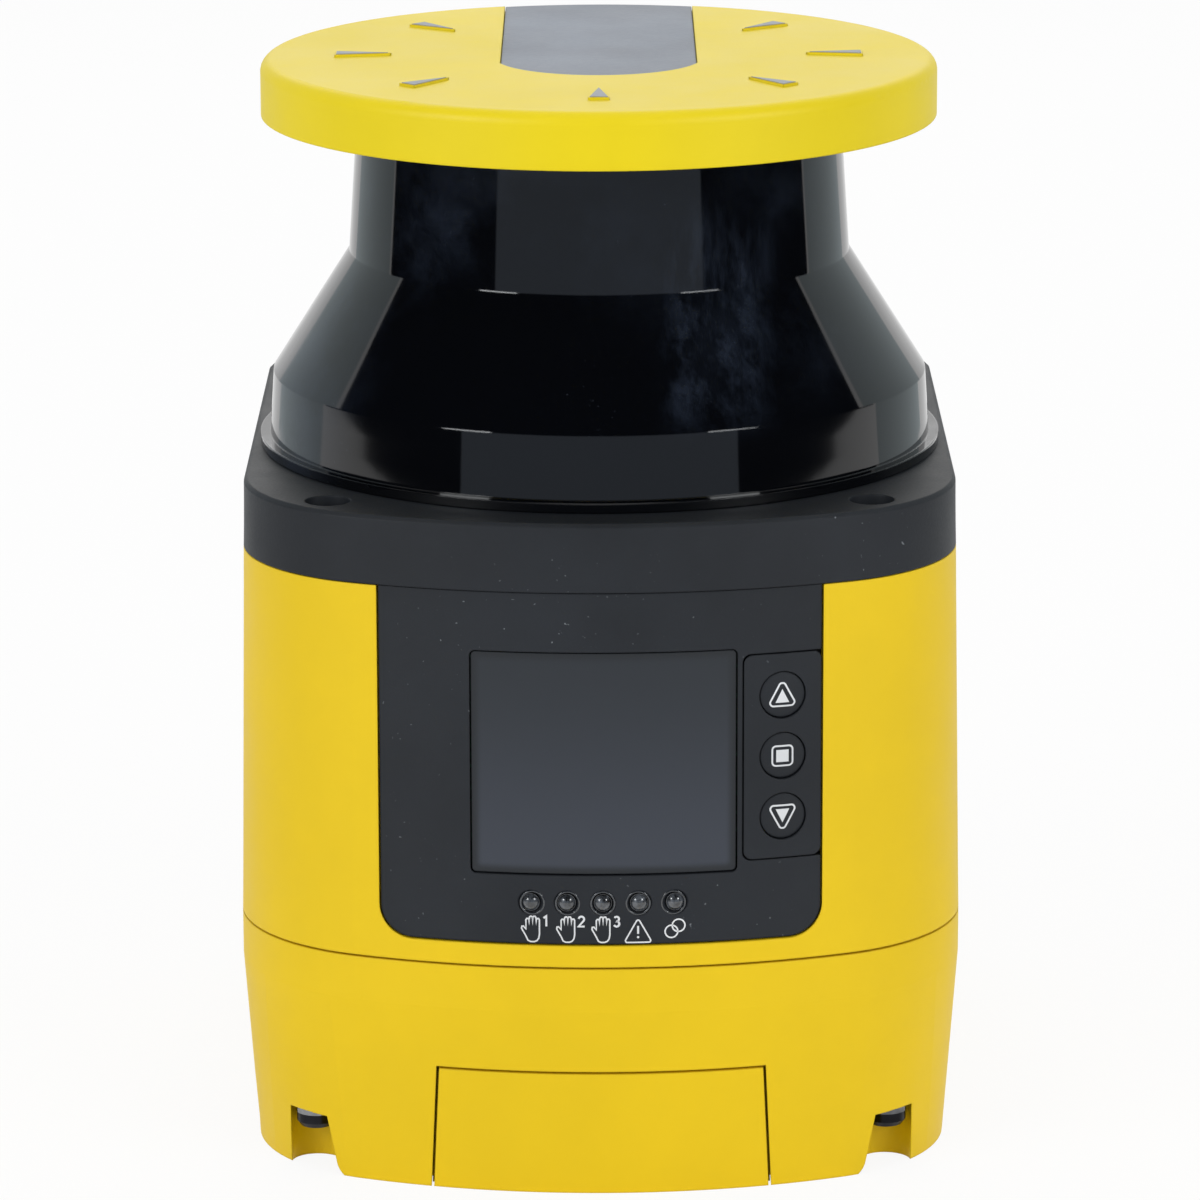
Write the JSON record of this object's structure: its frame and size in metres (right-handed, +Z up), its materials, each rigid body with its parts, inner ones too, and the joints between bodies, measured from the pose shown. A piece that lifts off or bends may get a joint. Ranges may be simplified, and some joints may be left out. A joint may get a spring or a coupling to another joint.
{
  "type": "safety laser scanner",
  "caption": "Compact safety laser scanner: flat-based housing with curved front display panel and keys, dark bezel ring, conical scan window and round cap.",
  "frame": {"origin": "centre of the bounding box at the flat underside of the base", "axes": "+X to the right seen from the front, -Y out of the display panel, +Z up along the scan axis"},
  "size_m": [0.102, 0.1125, 0.152],
  "materials": {
    "yellow_paint": "satin",
    "yellow_plastic": "satin",
    "charcoal_plastic": "satin",
    "window_plastic": "gloss",
    "grey_plastic": "textured",
    "screen_glass": "polished",
    "clear_plastic": "gloss",
    "rubber_seal": "matt",
    "black_screw": "gloss",
    "steel": "satin",
    "cast_aluminium": "satin",
    "iron": "matt",
    "brass_parts": "satin",
    "mirror_glass": "polished",
    "lens_glass": "polished",
    "circuit_board": "satin",
    "black_component": "matt",
    "lamp_chip": "matt"
  },
  "bodies": {
    "housing": {"base_housing": "yellow_paint", "memory_module": "yellow_plastic", "module_board": "circuit_board", "module_plug": "black_component", "base_socket": "black_component", "module_screws": "steel", "base_gasket": "rubber_seal", "body_shell": "yellow_paint", "display_panel": "charcoal_plastic", "display_window": "screen_glass", "lcd_module": "steel", "hmi_board": "circuit_board", "key_strip": "charcoal_plastic", "key_board": "circuit_board", "key_switches": "black_component", "lamp_lenses": "clear_plastic", "lamp_chips": "lamp_chip", "upper_housing": "charcoal_plastic", "optical_window": "window_plastic", "window_gasket": "rubber_seal", "window_top_gasket": "rubber_seal", "top_cap": "yellow_plastic", "cap_insert": "grey_plastic", "cap_marks": "grey_plastic", "cap_screws": "steel", "corner_screws": "black_screw", "corner_washers": "steel", "ring_screws": "black_screw", "motor_can": "cast_aluminium", "motor_stator": "iron", "motor_bearings": "steel", "motor_bracket": "cast_aluminium", "bracket_screws": "steel", "encoder_sensor": "black_component", "optics_holder": "charcoal_plastic", "receiver_lens": "lens_glass", "laser_module": "brass_parts", "detector_board": "circuit_board", "main_board": "circuit_board", "main_board_parts": "black_component", "main_board_posts": "brass_parts", "power_board": "circuit_board", "power_board_parts": "black_component", "power_board_posts": "brass_parts", "connector_shells": "steel", "connector_inserts": "black_component", "connector_pins": "brass_parts", "connector_nuts": "steel", "mount_inserts": "brass_parts"},
    "key_up": {"key_up": "charcoal_plastic"},
    "key_select": {"key_select": "charcoal_plastic"},
    "key_down": {"key_down": "charcoal_plastic"},
    "scan_head": {"rotor_shaft": "steel", "mirror_carrier": "charcoal_plastic", "scan_mirror": "mirror_glass", "encoder_disc": "steel", "motor_magnet": "iron"}
  },
  "joints": [
    {"name": "key_up_press", "type": "slide", "parent": "housing", "child": "key_up", "axis": [-0.275, 0.9614, 0], "range_m": [0, 0.0006], "stiffness_N_per_m": 800},
    {"name": "key_select_press", "type": "slide", "parent": "housing", "child": "key_select", "axis": [-0.275, 0.9614, 0], "range_m": [0, 0.0006], "stiffness_N_per_m": 800},
    {"name": "key_down_press", "type": "slide", "parent": "housing", "child": "key_down", "axis": [-0.275, 0.9614, 0], "range_m": [0, 0.0006], "stiffness_N_per_m": 800},
    {"name": "scan_spin", "type": "hinge", "parent": "housing", "child": "scan_head", "pos_m": [0, -0.0005, 0.12], "axis": [0, 0, 1], "continuous": true}
  ]
}
